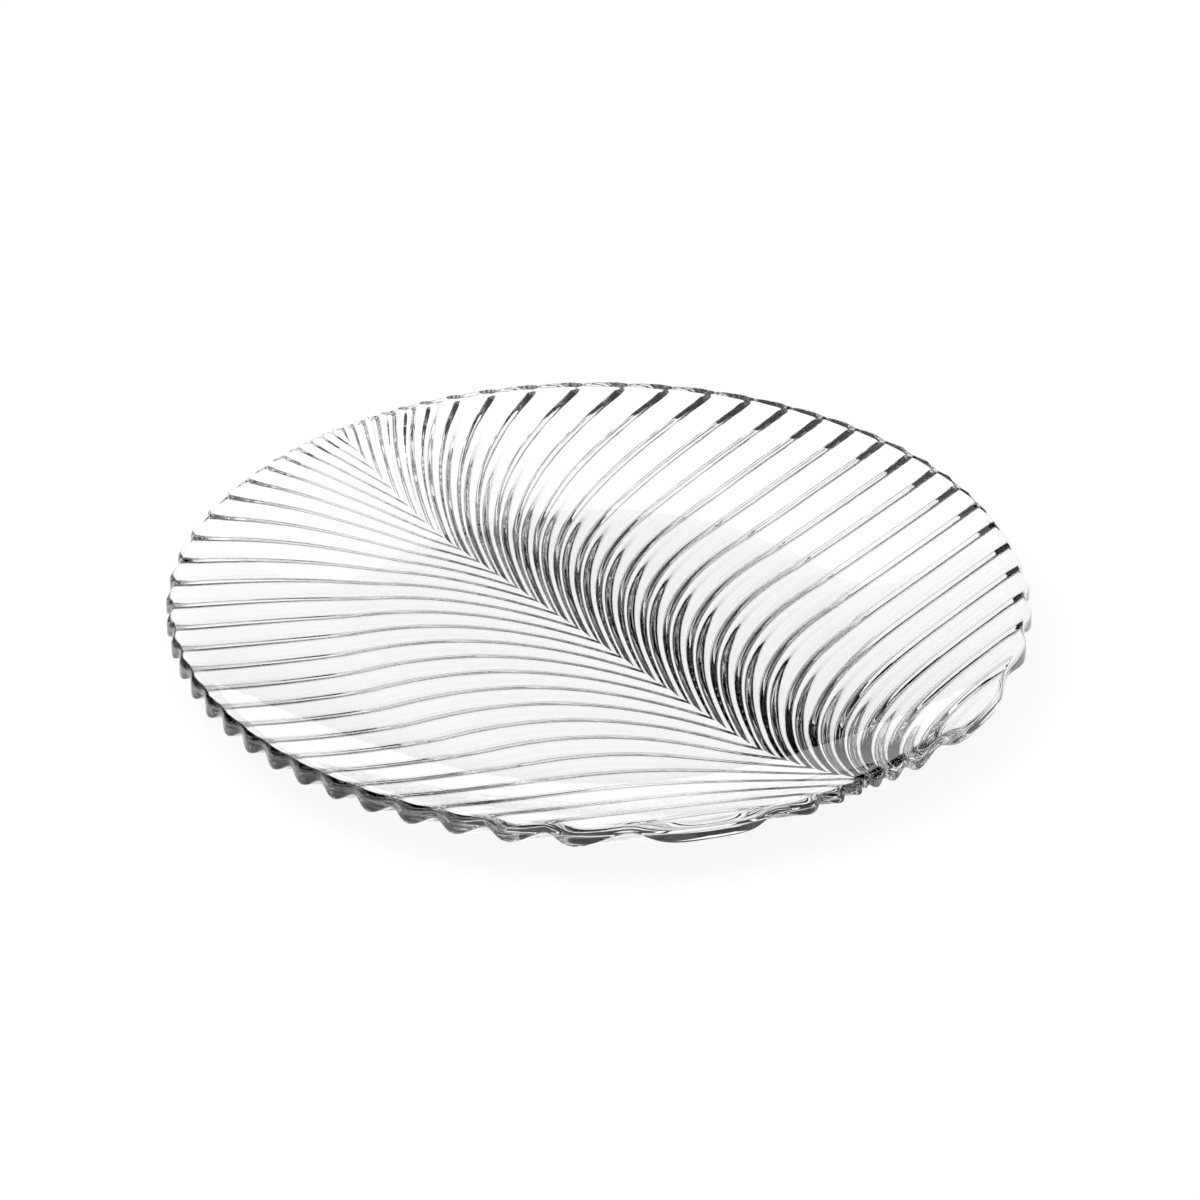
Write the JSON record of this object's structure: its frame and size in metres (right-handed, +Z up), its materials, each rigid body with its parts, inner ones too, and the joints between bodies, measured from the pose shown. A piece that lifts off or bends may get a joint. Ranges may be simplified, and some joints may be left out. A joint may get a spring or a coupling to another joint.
{
  "type": "serving plate",
  "caption": "Round clear pressed-glass serving plate with a smooth shallow dish on top and curved leaf-vein ribs below, running from a straight midrib to a scalloped rim.",
  "frame": {"origin": "centre of the plate on the plane it rests on", "axes": "+Z up out of the dish, +Y along the midrib towards the tip of the leaf pattern, +X to the right of it seen from above"},
  "size_m": [0.3198, 0.3196, 0.0241],
  "materials": {
    "clear_glass": "clear colourless pressed glass, fire-polished smooth"
  },
  "bodies": {
    "root": {"plate": "clear_glass"}
  },
  "joints": []
}
